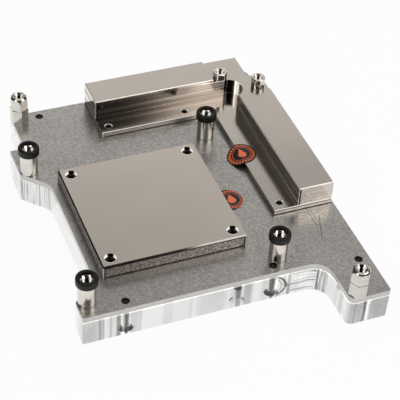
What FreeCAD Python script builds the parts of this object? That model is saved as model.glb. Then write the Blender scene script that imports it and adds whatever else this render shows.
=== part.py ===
import FreeCAD, Part
import math
import os

# Liquid cooling cold plate for a processor and its voltage regulators.
# It lies on its clear face, as it does on a bench, with the contact faces and the standoffs upward.
# Sizes are millimetres. They are written from the centre of the processor socket, and the last
# step moves the whole assembly so that the origin is under the middle of its bounding box.

V = FreeCAD.Vector
UP = V(0, 0, 1)

# Outline shared by the clear body and the base plate
left_edge = -31.7
tab_edge = -41.5
back_left_edge = -35.5
right_edge = 70.8
back_edge = 73.1
front_edge = -45.2
foot_edge = 54.2
foot_front = -66.9
tab_back = 51.5
tab_slope = 36.7
waist_radius = 8.0
step_radius = 3.0
foot_radius = 7.5
corner_radius = 1.5
foot_corner = 2.6
right_corner = 0.8

# Stack of layers
body_height = 11.2
plate_thickness = 2.3
fit_gap = 0.1

# Socket posts and the collars on them
socket_pitch = 75.0
post_diameter = 7.0
post_reach = 12.2
post_neck = 5.2
post_bore = 3.4
post_bore_depth = 9.0
stud_diameter = 4.0
collar_diameter = 8.4
collar_height = 3.1
collar_top = 12.5
collar_rounding = 0.7

# Hexagonal standoffs, two stacked pieces each
hex_side_inset = 3.1
hex_back_inset = 3.0
hex_foot_inset = 4.0
hex_front_inset = 2.8
hex_low_flats = 6.6
hex_low_height = 6.3
hex_top_flats = 6.5
hex_groove = 0.2
hex_neck = 5.8
hex_top = 12.5
hex_dome = 2.5
hex_crown = 5.0
hex_mouth = 4.4
hex_mouth_depth = 0.9
hex_turns = {"left": (32.0, 24.5), "right": (56.0, 56.0)}
hex_stud = 3.0
hex_stud_length = 3.6
stud_reach = 0.8
hex_bore = 2.6
hex_bore_depth = 5.0

# Processor cold plate
cold_size = 57.0
cold_thickness = 5.6
cold_bevel = 0.5
cold_screw_inset = 4.2
cold_hole = 4.7
cold_hole_depth = 1.3
fin_thickness = 0.5
fin_pitch = 1.1
fin_count = 25
fin_height = 3.0
fin_length = 23.0

# Jet plate and the opening that it sits in
window_size = 34.0
window_radius = 3.0
jet_thickness = 2.2
jet_slot_length = 26.0
jet_slot_width = 2.4
return_slot_width = 3.2
return_land = 1.2
chamber_land = 1.5

# Regulator block
block_left = -3.5
block_back = 72.2
bar_a_front = 58.5
bar_a_end = 49.0
bar_b_left = 55.3
flange_depth = 10.0
flange_width = 9.85
flange_front = bar_a_front - flange_depth
flange_side = bar_b_left - flange_width
flange_end = -16.3
flange_height = 2.6
bar_height = 10.8
bar_b_right = 69.9
bar_b_front = -16.1
bar_b_back = 46.6
corner_height = 9.5
notch_side = 64.3
notch_front = 58.0
notch_radius = 3.0
relief_radius = 5.7
relief_inset = 1.2
edge_break = 0.3
vrm_roof = 1.1
vrm_fin_height = 6.0
vrm_fin_thickness = 1.0
vrm_fin_gap = 1.2
vrm_fin_start = 3.0
vrm_fin_stop = 4.0
vrm_fin_front = 8.0
vrm_fin_back = 6.0
overrun = 1.0

# Screws
cold_thread = 2.5
cold_head = 4.4
cold_screw_length = 12.0
vrm_thread = 2.0
vrm_head = 3.0
vrm_hole = 3.2
vrm_hole_depth = 1.4
vrm_screw_length = 9.0
body_thread = 3.0
body_head = 5.8
body_head_sink = 0.2
screw_clearance = 0.2
screw_recess = 0.4
key_flats = 2.0
trim_screw_reach = 6.7
trim_screw_inset = 34.3
body_screw_left_inset = 7.5
body_screw_right_inset = 20.2
body_screw_foot_inset = 4.5
body_screw_back_inset = 3.7
body_screw_front_inset = 3.6
body_screw_foot_reach = 3.2
vrm_screw_end_inset = 3.8
vrm_screw_front_inset = 3.5
vrm_screw_middle_inset = 21.6
vrm_screw_side_inset = 6.3

# Round standoffs on the low corner of the block
short_diameter = 6.0
short_top = 12.5
tall_diameter = 5.7
tall_top = 14.5
round_bore = 2.6
round_bore_depth = 2.0
short_side_inset = 3.9
short_back_inset = 11.0
tall_side_inset = 4.1
tall_front_inset = 3.9

# Coolant channels in the clear body
channel_depth = 5.4
gutter_depth = 4.0
plenum_width = 8.0
gutter_width = 4.6
transfer_width = 7.0
vrm_channel_width = 8.0
vrm_channel_inset = 5.1
outlet_width = 9.0
outlet_reach = 5.0
port_bore = 12.0
port_seat = 19.0
port_seat_depth = 0.6
inlet_x = 40.0
outlet_side_inset = 7.2
outlet_front_inset = 13.2

# Seals
seal_cord = 1.6
seal_groove = 1.3
seal_offset = 1.7
seal_land = 1.0

# Labels
label_radius = 5.9
label_thickness = 0.15
label_slope = 4.3
label_flange_reach = 0.75
label_flange_y = 19.2
label_plate_reach = 3.0
label_plate_y = -2.6

# Positions of screws, standoffs and labels, each from the edges that it keeps to
hex_left = V(back_left_edge + hex_side_inset, back_edge - hex_back_inset, 0)
hex_right = V(foot_edge + hex_foot_inset, foot_front + hex_front_inset, 0)
body_screw_left = left_edge + body_screw_left_inset
body_screw_front = front_edge + body_screw_front_inset
body_screw_places = {
    "back_left": V(body_screw_left, back_edge - body_screw_back_inset, 0),
    "front_left": V(body_screw_left, body_screw_front, 0),
    "front_right": V(foot_edge - body_screw_right_inset, body_screw_front, 0),
    "foot": V(right_edge - body_screw_foot_inset, front_edge - body_screw_foot_reach, 0),
}
trim_screw_place = V(foot_edge - trim_screw_inset, body_screw_front, 0)
vrm_screw_places = {
    "left": V(block_left + vrm_screw_end_inset, flange_front + vrm_screw_front_inset, 0),
    "middle": V(bar_b_left - vrm_screw_middle_inset, flange_front + vrm_screw_front_inset, 0),
    "right": V(bar_b_left - vrm_screw_side_inset, flange_end + vrm_screw_end_inset, 0),
}
short_place = V(bar_a_end + short_side_inset, block_back - short_back_inset, 0)
tall_place = V(bar_b_right - tall_side_inset, bar_b_back + tall_front_inset, 0)
inlet_place = V(inlet_x, 0, 0)
outlet_place = V(foot_edge - outlet_side_inset, front_edge + outlet_front_inset, 0)
label_flange_place = V(flange_side + label_flange_reach, label_flange_y, 0)
label_plate_place = V(cold_size / 2 + label_plate_reach, label_plate_y, 0)
cold_screw_pitch = cold_size - 2 * cold_screw_inset
chamber_size = window_size - 2 * chamber_land
return_offset = (window_size - return_slot_width) / 2 - return_land
corners = {"front_left": (-1, -1), "front_right": (1, -1), "back_left": (-1, 1), "back_right": (1, 1)}

# Levels above the bench
body_top = body_height
plate_top = body_top + plate_thickness
cold_top = plate_top + cold_thickness
channel_floor = body_top - channel_depth
gutter_floor = body_top - gutter_depth


def rounded_face(points, z=0.0):
    """A flat face from corners (x, y, radius), each rounded by its own radius."""
    corner_data = []
    for i, (x, y, radius) in enumerate(points):
        here = V(x, y, z)
        before = V(points[i - 1][0], points[i - 1][1], z)
        after = V(points[(i + 1) % len(points)][0], points[(i + 1) % len(points)][1], z)
        if radius <= 0:
            corner_data.append((here, None, here))
            continue
        to_before = (before - here).normalize()
        to_after = (after - here).normalize()
        half = to_before.getAngle(to_after) / 2
        reach = radius / math.tan(half)
        middle = (to_before + to_after).normalize() * (radius / math.sin(half) - radius)
        corner_data.append((here + to_before * reach, here + middle, here + to_after * reach))
    edges = []
    for i, (start, middle, end) in enumerate(corner_data):
        if middle is not None:
            edges.append(Part.Arc(start, middle, end).toShape())
        following = corner_data[(i + 1) % len(corner_data)][0]
        if end.distanceToPoint(following) > 1e-6:
            edges.append(Part.LineSegment(end, following).toShape())
    return Part.Face(Part.Wire(edges))


def slab(face, z0, z1):
    """A flat face lifted to z0 and thickened up to z1."""
    solid = face.copy()
    solid.translate(V(0, 0, z0))
    return solid.extrude(V(0, 0, z1 - z0))


def box(x0, x1, y0, y1, z0, z1):
    return Part.makeBox(x1 - x0, y1 - y0, z1 - z0, V(x0, y0, z0))


def rod(place, diameter, z0, z1):
    return Part.makeCylinder(diameter / 2, z1 - z0, V(place.x, place.y, z0), UP)


def cone(place, d0, d1, z0, z1):
    return Part.makeCone(d0 / 2, d1 / 2, z1 - z0, V(place.x, place.y, z0), UP)


def hexagon(place, flats, z0, z1, turn=0.0):
    """A hexagonal bar whose flats face front and back when turn is zero."""
    radius = flats / math.sqrt(3)
    points = []
    for i in range(6):
        angle = math.radians(60 * i + turn)
        points.append((place.x + radius * math.cos(angle), place.y + radius * math.sin(angle), 0))
    return slab(rounded_face(points), z0, z1)


def hex_reach(flats, turn):
    """How far a turned hexagon reaches from its middle towards the front and the back."""
    return flats / math.sqrt(3) * max(math.sin(math.radians(60 * i + turn)) for i in range(6))


def join(shapes):
    first = shapes[0]
    if len(shapes) > 1:
        first = first.multiFuse(shapes[1:])
    return first.removeSplitter()


def join_faces(faces):
    """Flat faces of one plane merged into one face with its holes, or several where they stay apart."""
    merged = join(faces).Faces
    return merged[0] if len(merged) == 1 else Part.Compound(merged)


def track_face(points, width):
    """The flat area that a round cutter of this width sweeps along a path of points."""
    pieces = []
    for a, b in zip(points, points[1:]):
        side = (b - a).cross(UP).normalize() * (width / 2)
        ring = [a + side, b + side, b - side, a - side, a + side]
        pieces.append(Part.Face(Part.makePolygon(ring)))
    for point in points:
        pieces.append(Part.Face(Part.Wire(Part.makeCircle(width / 2, point, UP))))
    return join_faces(pieces)


def grown(face, amount):
    """The same flat area with its border moved outward, holes closing in."""
    return face.makeOffset2D(amount, 0, False, False, False)


def outline_face():
    """The shared outline: two tabs at the left, a long foot at the front right."""
    slope_meet = tab_slope - (left_edge - tab_edge)
    return rounded_face([
        (tab_edge, front_edge, 0),
        (foot_edge, front_edge, foot_radius),
        (foot_edge, foot_front, foot_corner),
        (right_edge, foot_front, right_corner),
        (right_edge, back_edge, corner_radius),
        (back_left_edge, back_edge, 0),
        (back_left_edge, tab_back, step_radius),
        (tab_edge, tab_back, 0),
        (tab_edge, tab_slope, 0),
        (left_edge, slope_meet, waist_radius),
        (left_edge, -slope_meet, waist_radius),
        (tab_edge, -tab_slope, 0),
    ])


def window_face(size, radius):
    half = size / 2
    return rounded_face([(-half, -half, radius), (half, -half, radius), (half, half, radius), (-half, half, radius)])


def socket_places(pitch):
    return {name: V(sx * pitch / 2, sy * pitch / 2, 0) for name, (sx, sy) in corners.items()}


def vrm_line_a():
    return bar_a_front + vrm_channel_inset


def vrm_line_b():
    return bar_b_left + vrm_channel_inset


def transfer_x():
    return jet_slot_length / 2 - 2.0


def vrm_path(end_y):
    """Centre line of the coolant path under the two bars, cut short inside the notched corner."""
    return [
        V(transfer_x(), vrm_line_a(), 0),
        V(bar_a_end + 1.0, vrm_line_a(), 0),
        V(vrm_line_b(), bar_b_back + 3.4, 0),
        V(vrm_line_b(), end_y, 0),
    ]


def vrm_window_face():
    """The area in the base plate that opens to the underside of the block."""
    end = flange_end + vrm_channel_width / 2 + seal_offset + seal_cord / 2 + seal_land
    return track_face(vrm_path(end), vrm_channel_width)


def gutter_face():
    """Return gutters that run round the left of the jet plate."""
    wrap = (window_size + gutter_width) / 2 - 1.2
    path = [
        V(jet_slot_length / 2 - 1.0, -return_offset, 0),
        V(-wrap, -return_offset, 0),
        V(-wrap, return_offset, 0),
        V(transfer_x(), return_offset, 0),
    ]
    return track_face(path, gutter_width)


def deep_face():
    """Inlet plenum, transfer run, regulator run and outlet run, all milled to full depth."""
    plenum_start = plenum_width / 2 - jet_slot_length / 2 - 0.8
    plenum = track_face([V(plenum_start, 0, 0), V(inlet_x, 0, 0)], plenum_width)
    transfer = track_face([V(transfer_x(), return_offset, 0), V(transfer_x(), vrm_line_a(), 0)], transfer_width)
    outlet_turn = outlet_place.y + outlet_width / 2
    regulator = track_face(vrm_path(outlet_turn), vrm_channel_width)
    outlet_end = outlet_place.y - outlet_reach
    outlet_path = [V(outlet_place.x, outlet_end, 0), V(outlet_place.x, outlet_turn, 0), V(vrm_line_b(), outlet_turn, 0)]
    return [plenum, join_faces([transfer, regulator, track_face(outlet_path, outlet_width)])]


def wet_face():
    """Everything in the top of the clear body that holds coolant."""
    window = window_face(window_size, window_radius)
    return join_faces([window, gutter_face()] + deep_face())


def seal_face(area, clearance=0.0):
    """The ring that a seal cord takes round a wet area."""
    outer = grown(area, seal_offset + seal_cord / 2 - clearance)
    inner = grown(area, seal_offset - seal_cord / 2 + clearance)
    return outer.cut(inner)


def countersunk_hole(place, depth):
    """Clearance hole from below with a seat for a countersunk head."""
    wide = body_head + screw_clearance
    narrow = body_thread + screw_clearance
    seat = body_head_sink + (wide - narrow) / 2
    return join([
        rod(place, wide, 0, body_head_sink),
        cone(place, wide, narrow, body_head_sink, seat),
        rod(place, narrow, seat, depth),
    ])


def clear_body():
    """Clear block with the coolant channels, the two ports and the screw holes."""
    body = slab(outline_face(), 0, body_top)
    cuts = [slab(gutter_face(), gutter_floor, body_top)]
    for face in deep_face():
        cuts.append(slab(face, channel_floor, body_top))
    cuts.append(slab(seal_face(wet_face()), body_top - seal_groove, body_top))
    for place in (inlet_place, outlet_place):
        cuts.append(rod(place, port_bore, 0, channel_floor))
        cuts.append(rod(place, port_seat, 0, port_seat_depth))
    for place in body_screw_places.values():
        cuts.append(countersunk_hole(place, body_top))
    cuts.append(countersunk_hole(trim_screw_place, trim_screw_reach + screw_clearance))
    cold_tip = cold_top - cold_hole_depth - cold_screw_length
    for place in socket_places(cold_screw_pitch).values():
        cuts.append(rod(place, cold_thread + screw_clearance, cold_tip - screw_clearance, body_top))
    vrm_tip = plate_top + flange_height - screw_recess - vrm_screw_length
    for place in vrm_screw_places.values():
        cuts.append(rod(place, vrm_thread + screw_clearance, vrm_tip - screw_clearance, body_top))
    for place in socket_places(socket_pitch).values():
        cuts.append(rod(place, stud_diameter + screw_clearance, body_top - stud_reach - screw_clearance, body_top))
    for place in (hex_left, hex_right):
        cuts.append(rod(place, hex_stud + screw_clearance, body_top - stud_reach - screw_clearance, body_top))
    return body.cut(cuts)


def base_plate():
    """Metal plate over the clear body, open under the cold plate and under the block."""
    plate = slab(outline_face(), body_top, plate_top)
    cuts = [slab(window_face(window_size, window_radius), body_top, plate_top)]
    cuts.append(slab(vrm_window_face(), body_top, plate_top))
    holes = []
    for place in body_screw_places.values():
        holes.append((place, body_thread))
    for place in socket_places(cold_screw_pitch).values():
        holes.append((place, cold_thread))
    for place in vrm_screw_places.values():
        holes.append((place, vrm_thread))
    for place in socket_places(socket_pitch).values():
        holes.append((place, stud_diameter))
    for place in (hex_left, hex_right):
        holes.append((place, hex_stud))
    for place, diameter in holes:
        cuts.append(rod(place, diameter + screw_clearance, body_top, plate_top))
    return plate.cut(cuts)


def jet_plate():
    """Insert that feeds the fins through its middle slot and drains them at both ends."""
    size = window_size - 2 * fit_gap
    plate = slab(window_face(size, window_radius), body_top, body_top + jet_thickness)
    half = jet_slot_length / 2
    cuts = []
    for y, width in ((0, jet_slot_width), (return_offset, return_slot_width), (-return_offset, return_slot_width)):
        path = [V(width / 2 - half, y, 0), V(half - width / 2, y, 0)]
        cuts.append(slab(track_face(path, width), body_top, body_top + jet_thickness))
    return plate.cut(cuts)


def cold_plate():
    """Square cold plate: fins under it, bevelled top edge and four countersunk holes."""
    half = cold_size / 2
    plate = box(-half, half, -half, half, plate_top, cold_top)
    top_edges = [e for e in plate.Edges if e.BoundBox.ZMin > cold_top - 0.01]
    plate = plate.makeChamfer(cold_bevel, top_edges)
    half_chamber = chamber_size / 2
    recess = box(-half_chamber, half_chamber, -half_chamber, half_chamber, plate_top, plate_top + fin_height)
    fins = []
    first = -fin_pitch * (fin_count - 1) / 2
    for i in range(fin_count):
        x = first + i * fin_pitch
        fins.append(box(x - fin_thickness / 2, x + fin_thickness / 2, -fin_length / 2, fin_length / 2,
                        plate_top, plate_top + fin_height))
    cuts = [recess.cut(fins)]
    shoulder = cold_top - cold_hole_depth
    narrow = cold_thread + screw_clearance
    for place in socket_places(cold_screw_pitch).values():
        cuts.append(rod(place, cold_hole, shoulder, cold_top))
        cuts.append(cone(place, narrow, cold_hole, shoulder - (cold_hole - narrow) / 2, shoulder))
        cuts.append(rod(place, narrow, plate_top, shoulder))
    cuts.append(slab(seal_face(window_face(window_size, window_radius)), plate_top, plate_top + seal_groove))
    return plate.cut(cuts)


def block_foot_face():
    """The L-shaped foot of the regulator block, with a milled notch in its outer corner."""
    return rounded_face([
        (block_left, flange_front, 0),
        (flange_side, flange_front, 0),
        (flange_side, flange_end, 0),
        (bar_b_right, flange_end, 0),
        (bar_b_right, notch_front, 0),
        (notch_side, notch_front, notch_radius),
        (notch_side, block_back, 0),
        (block_left, block_back, 0),
    ])


def regulator_block():
    """Stepped L-shaped block: two tall bars on a thin flange, a lower corner and a milled relief."""
    floor = plate_top + flange_height
    tall = plate_top + bar_height
    low = plate_top + corner_height
    whole = slab(block_foot_face(), plate_top, tall)
    beyond = tall + overrun
    open_side = box(block_left - overrun, bar_b_left, flange_end - overrun, bar_a_front, floor, beyond)
    ledge = box(bar_b_left - overrun, bar_b_right + overrun, flange_end - overrun, bar_b_front, floor, beyond)
    relief_place = V(bar_b_left - relief_inset, bar_a_front - relief_radius, 0)
    relief = rod(relief_place, 2 * relief_radius, floor, beyond)
    step_a = box(bar_a_end, bar_b_right + overrun, bar_b_back, block_back + overrun, low, beyond)
    block = whole.cut([open_side, ledge, relief, step_a])
    rims = []
    for edge in block.Edges:
        bounds = edge.BoundBox
        if bounds.ZMin > tall - 0.01 and bounds.DiagonalLength > 2:
            rims.append(edge)
    block = block.makeChamfer(edge_break, rims)
    cuts = [slab(vrm_window_face(), plate_top, plate_top + flange_height - vrm_roof)]
    cuts += regulator_grooves()
    cuts.append(slab(seal_face(vrm_window_face()), plate_top, plate_top + seal_groove))
    for place in vrm_screw_places.values():
        cuts.append(rod(place, vrm_hole, floor - vrm_hole_depth, floor))
        cuts.append(rod(place, vrm_thread + screw_clearance, plate_top, floor))
    for place in (short_place, tall_place):
        cuts.append(rod(place, hex_stud + screw_clearance, low - 3.0, low))
    return block.cut(cuts)


def regulator_grooves():
    """Long grooves under each bar, which leave cooling fins between them."""
    top = plate_top + vrm_fin_height
    pitch = vrm_fin_thickness + vrm_fin_gap
    count = int((vrm_channel_width + vrm_fin_thickness) // pitch)
    grooves = []
    for i in range(count):
        offset = (i - (count - 1) / 2) * pitch
        y = vrm_line_a() + offset
        x = vrm_line_b() + offset
        half = vrm_fin_gap / 2
        grooves.append(box(transfer_x() + vrm_fin_start, bar_a_end - vrm_fin_stop, y - half, y + half, plate_top, top))
        grooves.append(box(x - half, x + half, bar_b_front + vrm_fin_front, bar_b_back - vrm_fin_back, plate_top, top))
    return grooves


def seal(area, z):
    """A pressed cord that lies in its groove round a wet area, from level z up."""
    return slab(seal_face(area, fit_gap), z, z + seal_groove)


def socket_post(place):
    """Round post with a stud below, a shoulder for the collar and a threaded bore."""
    shoulder = plate_top + collar_top - collar_height
    tip = plate_top + post_reach
    post = join([
        rod(place, post_diameter, plate_top, shoulder),
        rod(place, post_neck, shoulder, tip),
        rod(place, stud_diameter, body_top - stud_reach, plate_top),
    ])
    mouth = cone(place, post_bore, post_bore + 0.8, tip - 0.4, tip)
    return post.cut([rod(place, post_bore, tip - post_bore_depth, tip), mouth])


def post_collar(place):
    """Plastic collar that sits on the shoulder of a post, its upper rim rounded in two slopes."""
    top = plate_top + collar_top
    step = collar_rounding * (1 - math.sqrt(0.5))
    middle = collar_diameter - 2 * step
    collar = join([
        rod(place, collar_diameter, top - collar_height, top - collar_rounding),
        cone(place, collar_diameter, middle, top - collar_rounding, top - step),
        cone(place, middle, collar_diameter - 2 * collar_rounding, top - step, top),
    ])
    return collar.cut(rod(place, post_neck + 2 * fit_gap, top - collar_height, top))


def hex_lower(place, turn):
    """Lower half of a hexagonal standoff, screwed into the base plate."""
    top = plate_top + hex_low_height
    body = hexagon(place, hex_low_flats, plate_top, top, turn)
    stud = rod(place, hex_stud, body_top - stud_reach, plate_top)
    bore = rod(place, hex_stud + screw_clearance, top - hex_stud_length - screw_clearance, top)
    return join([body, stud]).cut(bore)


def hex_upper(place, turn):
    """Upper half: a thin neck at its foot, a domed shoulder, a countersunk mouth and a threaded bore."""
    foot = plate_top + hex_low_height
    top = plate_top + hex_top
    spring = top - hex_dome
    corner = hex_top_flats * 2 / math.sqrt(3)
    rise = (corner - hex_crown) / 2
    body = hexagon(place, hex_top_flats, foot + hex_groove, top, turn)
    levels = [(spring, corner)]
    for share_up, share_in in ((0.35, 0.1), (0.65, 0.32), (0.87, 0.66), (1.0, 1.0)):
        levels.append((spring + hex_dome * share_up, corner - 2 * rise * share_in))
    turned = [rod(place, corner, foot + hex_groove, spring)]
    for (low, wide), (high, narrow) in zip(levels, levels[1:]):
        turned.append(cone(place, wide, narrow, low, high))
    parts = [
        body.common(join(turned)),
        rod(place, hex_neck, foot, foot + hex_groove),
        rod(place, hex_stud, foot - hex_stud_length, foot),
    ]
    mouth = cone(place, hex_bore, hex_mouth, top - hex_mouth_depth, top)
    return join(parts).cut([rod(place, hex_bore, top - hex_bore_depth, top), mouth])


def round_standoff(place, diameter, reach):
    """Plain round standoff whose stud goes into the low corner of the block."""
    foot = plate_top + corner_height
    top = plate_top + reach
    post = join([rod(place, diameter, foot, top), rod(place, hex_stud, foot - 2.8, foot)])
    return post.cut(rod(place, round_bore, top - round_bore_depth, top))


def cold_screw(place):
    """Countersunk screw with a hexagon key recess."""
    top = cold_top - cold_hole_depth
    tip = top - cold_screw_length
    slope = (cold_head - cold_thread) / 2
    screw = join([cone(place, cold_thread, cold_head, top - slope, top), rod(place, cold_thread, tip, top - slope)])
    return screw.cut(hexagon(place, key_flats, top - 1.2, top))


def vrm_screw(place):
    """Small cap screw in the flange of the block."""
    top = plate_top + flange_height - screw_recess
    seat = plate_top + flange_height - vrm_hole_depth
    screw = join([rod(place, vrm_head, seat, top), rod(place, vrm_thread, top - vrm_screw_length, seat)])
    return screw.cut(hexagon(place, key_flats * 0.7, top - 0.6, top))


def body_screw(place, reach):
    """Countersunk screw from below, its head just under the face of the clear body."""
    seat = body_head_sink + (body_head - body_thread) / 2
    screw = join([cone(place, body_head, body_thread, body_head_sink, seat), rod(place, body_thread, seat, reach)])
    return screw.cut(hexagon(place, key_flats, body_head_sink, body_head_sink + 1.2))


def draped_label(place, profile):
    """A round sticker that follows a stepped profile, given as points (x, height) of its underside."""
    lower = [V(x, 0, plate_top + h) for x, h in profile]
    upper = [V(x, 0, plate_top + h + label_thickness) for x, h in reversed(profile)]
    ring = lower + upper + [lower[0]]
    sheet = Part.Face(Part.makePolygon(ring)).extrude(V(0, 4 * label_radius, 0))
    sheet.translate(V(0, place.y - 2 * label_radius, 0))
    reach = rod(place, 2 * label_radius, plate_top - overrun, plate_top + bar_height)
    return sheet.common(reach)


def label_flange():
    """Stiff label laid over the edge of the flange, which slopes down to the plate."""
    x = label_flange_place.x
    profile = [
        (x - label_radius - overrun, 0),
        (flange_side - label_slope, 0),
        (flange_side - 0.15, flange_height),
        (x + label_radius + overrun, flange_height),
    ]
    return draped_label(label_flange_place, profile)


def label_plate():
    """Label on the base plate that turns up the side of the cold plate."""
    side = cold_size / 2
    profile = [
        (side + 0.02, 2.9),
        (side + 0.3, 0.25),
        (side + 0.7, 0),
        (label_plate_place.x + label_radius + 1, 0),
    ]
    lower = [V(x, 0, plate_top + h) for x, h in profile]
    upper = [V(x + 0.15, 0, plate_top + h + 0.11) for x, h in profile[:2]]
    upper += [V(x, 0, plate_top + h + label_thickness) for x, h in profile[2:]]
    ring = lower + list(reversed(upper)) + [lower[0]]
    sheet = Part.Face(Part.makePolygon(ring)).extrude(V(0, 4 * label_radius, 0))
    sheet.translate(V(0, label_plate_place.y - 2 * label_radius, 0))
    return sheet.common(rod(label_plate_place, 2 * label_radius, plate_top - overrun, plate_top + bar_height))


def assembly():
    """Every sub-part by name, placed from the socket centre."""
    parts = {
        "clear_body": clear_body(),
        "base_plate": base_plate(),
        "jet_plate": jet_plate(),
        "cpu_cold_plate": cold_plate(),
        "regulator_block": regulator_block(),
        "cold_plate_seal": seal(window_face(window_size, window_radius), plate_top),
        "regulator_seal": seal(vrm_window_face(), plate_top),
        "body_seal": seal(wet_face(), body_top - seal_groove),
        "label_on_flange": label_flange(),
        "label_on_plate": label_plate(),
        "standoff_short": round_standoff(short_place, short_diameter, short_top),
        "standoff_tall": round_standoff(tall_place, tall_diameter, tall_top),
        "trim_screw": body_screw(trim_screw_place, trim_screw_reach),
    }
    for name, place in socket_places(socket_pitch).items():
        parts["post_" + name] = socket_post(place)
        parts["collar_" + name] = post_collar(place)
    for name, place in socket_places(cold_screw_pitch).items():
        parts["cold_screw_" + name] = cold_screw(place)
    for name, place in vrm_screw_places.items():
        parts["regulator_screw_" + name] = vrm_screw(place)
    for name, place in body_screw_places.items():
        parts["body_screw_" + name] = body_screw(place, plate_top - screw_recess)
    for name, place in (("left", hex_left), ("right", hex_right)):
        lower_turn, upper_turn = hex_turns[name]
        parts["hex_lower_" + name] = hex_lower(place, lower_turn)
        parts["hex_upper_" + name] = hex_upper(place, upper_turn)
    return parts


def main():
    os.makedirs("parts", exist_ok=True)
    back = max(back_edge, hex_left.y + hex_reach(hex_low_flats, hex_turns["left"][0]))
    front = min(foot_front, hex_right.y - hex_reach(hex_low_flats, hex_turns["right"][0]))
    left = min(tab_edge, -(socket_pitch + collar_diameter) / 2)
    shift = V(-(left + right_edge) / 2, -(back + front) / 2, 0)
    for name, shape in assembly().items():
        shape.translate(shift)
        if len(shape.Solids) != 1 or not shape.isValid():
            print("check", name, len(shape.Solids), shape.isValid())
        solid = shape.Solids[0] if len(shape.Solids) == 1 else shape
        solid.exportStep("parts/" + name + ".step")


main()
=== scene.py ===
import functools
import math

import bmesh
import bpy
from bpy.props import FloatProperty, FloatVectorProperty, PointerProperty
from mathutils import Matrix, Vector


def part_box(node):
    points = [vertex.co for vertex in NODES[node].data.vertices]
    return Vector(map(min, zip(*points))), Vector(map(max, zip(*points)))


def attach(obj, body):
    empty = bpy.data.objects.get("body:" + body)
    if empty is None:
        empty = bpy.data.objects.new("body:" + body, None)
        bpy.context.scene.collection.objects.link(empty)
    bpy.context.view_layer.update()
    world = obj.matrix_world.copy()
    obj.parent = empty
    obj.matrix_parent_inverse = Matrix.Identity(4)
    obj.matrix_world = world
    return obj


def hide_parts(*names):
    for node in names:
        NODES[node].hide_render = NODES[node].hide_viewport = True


bl_info = {
    "name": "Liquid cooling cold plate",
    "version": (1, 0, 0),
    "blender": (4, 5, 0),
    "location": "3D View > Sidebar > Cold Plate",
    "description": "Finishes, turned parts and a stage for a cold plate with a clear coolant body",
    "category": "Object",
}

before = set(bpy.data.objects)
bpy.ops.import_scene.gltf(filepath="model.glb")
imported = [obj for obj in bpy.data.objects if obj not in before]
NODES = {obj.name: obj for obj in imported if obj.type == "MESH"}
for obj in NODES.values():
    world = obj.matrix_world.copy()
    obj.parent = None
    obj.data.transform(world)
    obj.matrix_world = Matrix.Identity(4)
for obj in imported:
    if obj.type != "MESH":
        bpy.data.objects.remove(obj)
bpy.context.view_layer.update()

MM = 0.001
CORNERS = ("front_left", "front_right", "back_left", "back_right")
BODY_SCREWS = ("body_screw_back_left", "body_screw_front_left", "body_screw_front_right",
               "body_screw_foot", "trim_screw")
FLANGE_SCREWS = ("regulator_screw_left", "regulator_screw_middle", "regulator_screw_right")


def centre(node):
    """Middle of a CAD node's box, in metres."""
    low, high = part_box(node)
    return (low + high) / 2


# The socket centre is the middle of the four posts, which stand on the base plate's top.
SOCKET = sum((centre("post_" + c) for c in CORNERS), Vector()) / 4
PLATE_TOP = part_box("base_plate")[1].z
COLD_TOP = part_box("cpu_cold_plate")[1].z
COLD_HALF = (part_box("cpu_cold_plate")[1].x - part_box("cpu_cold_plate")[0].x) / 2

# The regulator block, in metres: the top of its thin flange, the top of its low outer corner,
# the left end of its rear bar, and the inner side and front end of its right bar.
FLANGE_TOP = PLATE_TOP + 2.6 * MM
CORNER_TOP = 23.0 * MM
BLOCK_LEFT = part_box("regulator_block")[0].x
BAR_SIDE = SOCKET.x + 55.3 * MM
BAR_FRONT = SOCKET.y - 16.1 * MM
# In millimetres from the socket centre. What faces the front behind REAR_WALL is the rear bar's
# wall, what faces left beyond RIGHT_WALL is the right bar's, and the flange behind REAR_FLANGE
# is the rear bar's.
REAR_WALL = 58.0
RIGHT_WALL = 50.0
REAR_FLANGE = 47.0
# The round relief's middle and radius, in the same measure.
RELIEF = (54.1, 52.8)
RELIEF_RADIUS = 5.7

# Beyond these lines, in millimetres from the socket centre, the clear body's faces are outer ones.
CLEAR_LEFT, CLEAR_RIGHT, CLEAR_FRONT, CLEAR_BACK = -41.0, 70.3, -44.6, 72.6
# The photograph's camera in plan: its right direction, and the way it looks. What the finishes
# paint along them is fixed to the object, and it is placed for that one view.
SWEEP = (0.932, -0.361)
AWAY = (0.361, 0.932)
# Dark upright bands painted on the clear body's outer faces in place of refractions: place along
# the sweep and half width in millimetres, and depth of tone. They are chosen from the
# brightness of the photograph along those faces, and not worked out from pockets or bores.
CLEAR_BANDS = (
    (-20.2, 5.2, 0.69), (-16.3, 0.9, 0.9), (-15.2, 0.8, 0.74), (-12.4, 0.7, 0.6),
    (-9.65, 1.15, 1.0), (-6.85, 0.8, 1.0), (-4.2, 2.0, 0.5), (-2.2, 1.2, 0.42),
    (12.5, 9.0, 0.14), (24.0, 8.0, 0.36), (34.1, 1.5, 0.93), (37.6, 2.2, 0.6),
    (46.9, 1.0, 1.0), (53.3, 0.9, 0.78), (64.2, 0.55, 1.0), (65.5, 0.3, 0.7),
    (67.0, 0.8, 0.4), (69.6, 1.9, 0.1), (72.2, 0.8, 0.4), (77.6, 4.6, 0.66),
    (76.9, 0.5, 0.85), (80.6, 0.95, 1.0), (83.6, 1.2, 0.66), (87.3, 6.0, 0.68))
# The same for two bands that bow, and the height about which they do.
CURVED_BANDS = ((51.9, 0.85, 1.0), (50.3, 0.5, 0.55))
CURVE_HEIGHT = 5.2 * MM
# Painted highlights, bright upright lines beside them, chosen in the same way: place along the
# sweep, half width.
PAINTED_BRIGHT_BANDS = ((-7.9, 0.5), (81.8, 0.36), (48.5, 0.4))
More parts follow.
